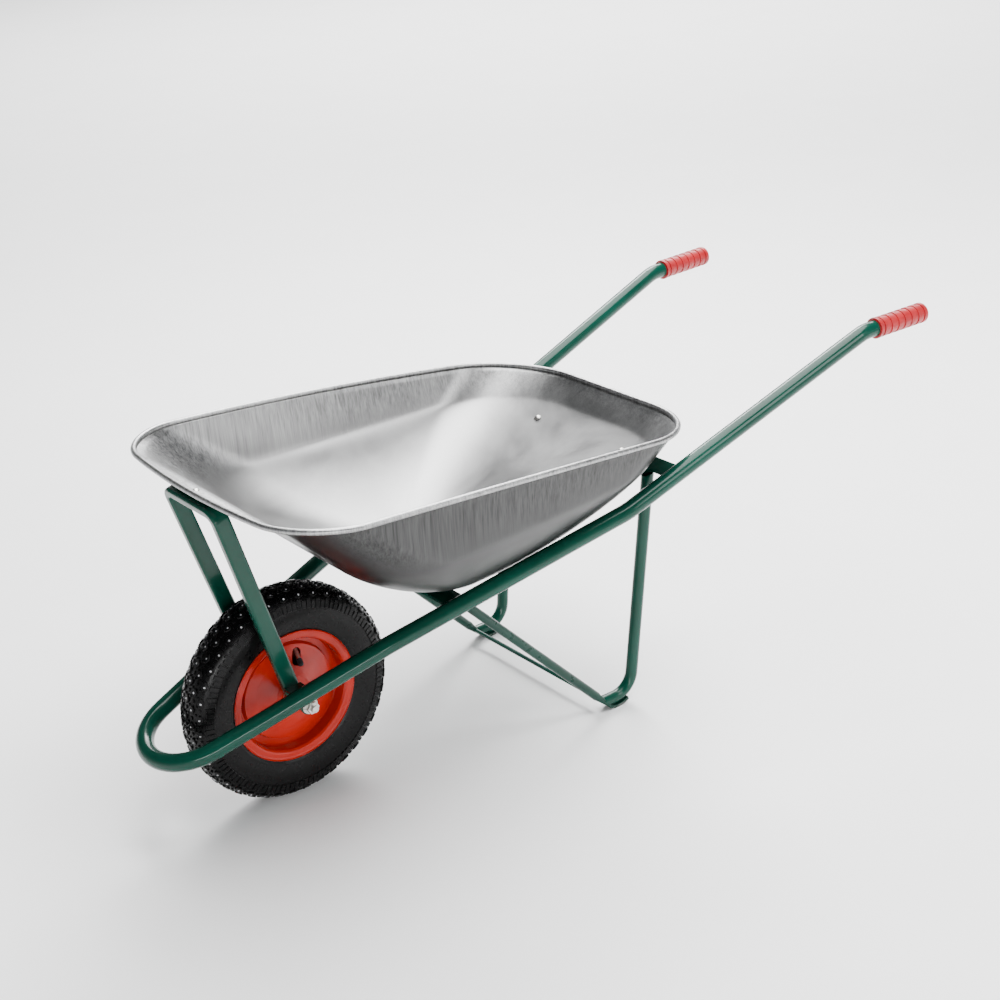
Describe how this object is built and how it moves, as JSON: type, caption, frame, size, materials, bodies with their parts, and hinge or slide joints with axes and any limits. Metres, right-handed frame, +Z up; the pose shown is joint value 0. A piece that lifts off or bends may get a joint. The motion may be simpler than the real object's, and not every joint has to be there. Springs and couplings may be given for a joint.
{
  "type": "wheelbarrow",
  "caption": "Wheelbarrow with a bent-tube frame, pressed steel tray, pneumatic front wheel on ball bearings and ribbed handle grips.",
  "frame": {"origin": "on the ground, in the middle of the bounding box's footprint", "axes": "+X towards the handles, -X the way it is pushed, +Y to the user's right, +Z up from the ground"},
  "size_m": [1.538, 0.6068, 0.6094],
  "materials": {
    "green_paint": "gloss",
    "galvanised_sheet": "satin",
    "zinc_steel": "satin",
    "bearing_steel": "satin",
    "red_paint": "gloss",
    "red_grip": "satin",
    "tyre_rubber": "matte",
    "tube_rubber": "matte",
    "brass": "satin"
  },
  "bodies": {
    "frame": {"frame_tube": "green_paint", "front_strut": "green_paint", "axle_bracket_left": "green_paint", "axle_bracket_right": "green_paint", "leg_left": "green_paint", "leg_right": "green_paint", "brace_left": "green_paint", "brace_right": "green_paint", "foot_tie_bar": "green_paint", "front_cross_plate": "green_paint", "rear_cross_strap": "green_paint", "tray": "galvanised_sheet", "rim_wire": "galvanised_sheet", "tray_bolts": "zinc_steel", "tray_washers": "zinc_steel", "tray_nuts": "zinc_steel", "grip_left": "red_grip", "grip_right": "red_grip", "axle": "zinc_steel", "axle_spacers": "zinc_steel", "axle_washers": "zinc_steel", "axle_nuts": "zinc_steel", "bearing_inner_races": "bearing_steel"},
    "wheel": {"hub": "zinc_steel", "bearing_outer_races": "bearing_steel", "bearing_balls": "bearing_steel", "wheel_rim_left": "red_paint", "wheel_rim_right": "red_paint", "tyre": "tyre_rubber", "inner_tube": "tube_rubber", "valve_stem": "brass", "valve_cap": "tube_rubber"}
  },
  "joints": [
    {"name": "wheel_spin", "type": "hinge", "parent": "frame", "child": "wheel", "pos_m": [-0.5004, 0, 0.19], "axis": [0, 1, 0], "continuous": true}
  ]
}
